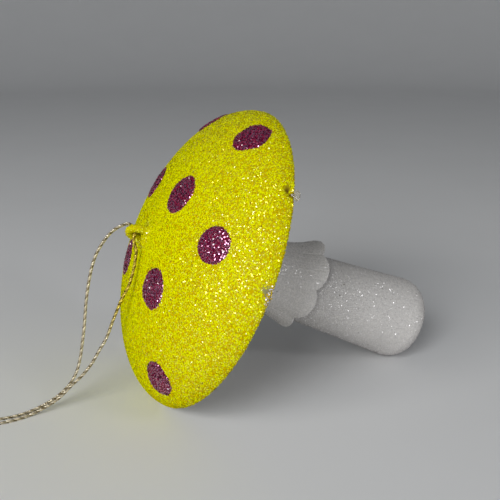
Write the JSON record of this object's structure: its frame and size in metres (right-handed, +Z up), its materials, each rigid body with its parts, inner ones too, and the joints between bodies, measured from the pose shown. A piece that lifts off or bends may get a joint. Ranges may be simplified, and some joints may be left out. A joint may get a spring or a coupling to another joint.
{
  "type": "mushroom christmas ornament",
  "caption": "Mushroom tree ornament with a glittered domed cap, round contrasting spots, a pale stem with a frilled skirt, and an eyelet with a hanging cord loop, shown lying on its side.",
  "frame": {"origin": "bottom centre of the ornament's box as it lies on its side, without the hanging cord", "axes": "+X from the cap towards the foot of the stem, +Z up, and +Y away from the pictured side"},
  "size_m": [0.183, 0.0898, 0.0826],
  "materials": {
    "yellow_glitter": "moulded plastic covered in yellow flake glitter",
    "plum_glitter": "plum flake glitter in glue",
    "white_glitter": "moulded plastic with fine clear glitter",
    "white_frosted": "thin frosted skirt with fine clear glitter",
    "white_plain": "plain moulded plastic",
    "hot_melt_glue": "clear hot-melt glue",
    "gold_cord": "twisted metallic gold cord"
  },
  "bodies": {
    "ornament": {"cap_shell": "yellow_glitter", "cap_underside": "white_glitter", "stem": "white_glitter", "stem_skirt": "white_frosted", "neck_glue": "hot_melt_glue", "rim_glue_bead": "hot_melt_glue", "hanger_eyelet": "yellow_glitter", "eyelet_washer": "white_plain", "glitter_spot_01": "plum_glitter", "glitter_spot_02": "plum_glitter", "glitter_spot_03": "plum_glitter", "glitter_spot_04": "plum_glitter", "glitter_spot_05": "plum_glitter", "glitter_spot_06": "plum_glitter", "glitter_spot_07": "plum_glitter", "glitter_spot_08": "plum_glitter", "glitter_spot_09": "plum_glitter", "glitter_spot_10": "plum_glitter", "glitter_spot_11": "plum_glitter"},
    "hanging_cord": {"cord_turn": "gold_cord", "cord_front_leg": "gold_cord", "cord_rear_leg": "gold_cord", "cord_knot": "gold_cord"}
  },
  "joints": [
    {"name": "loop_swing", "type": "hinge", "parent": "ornament", "child": "hanging_cord", "pos_m": [-0.04655, 0, 0.05141], "axis": [-0.2722, 0.7431, -0.6113], "range_deg": [0, 100]}
  ]
}
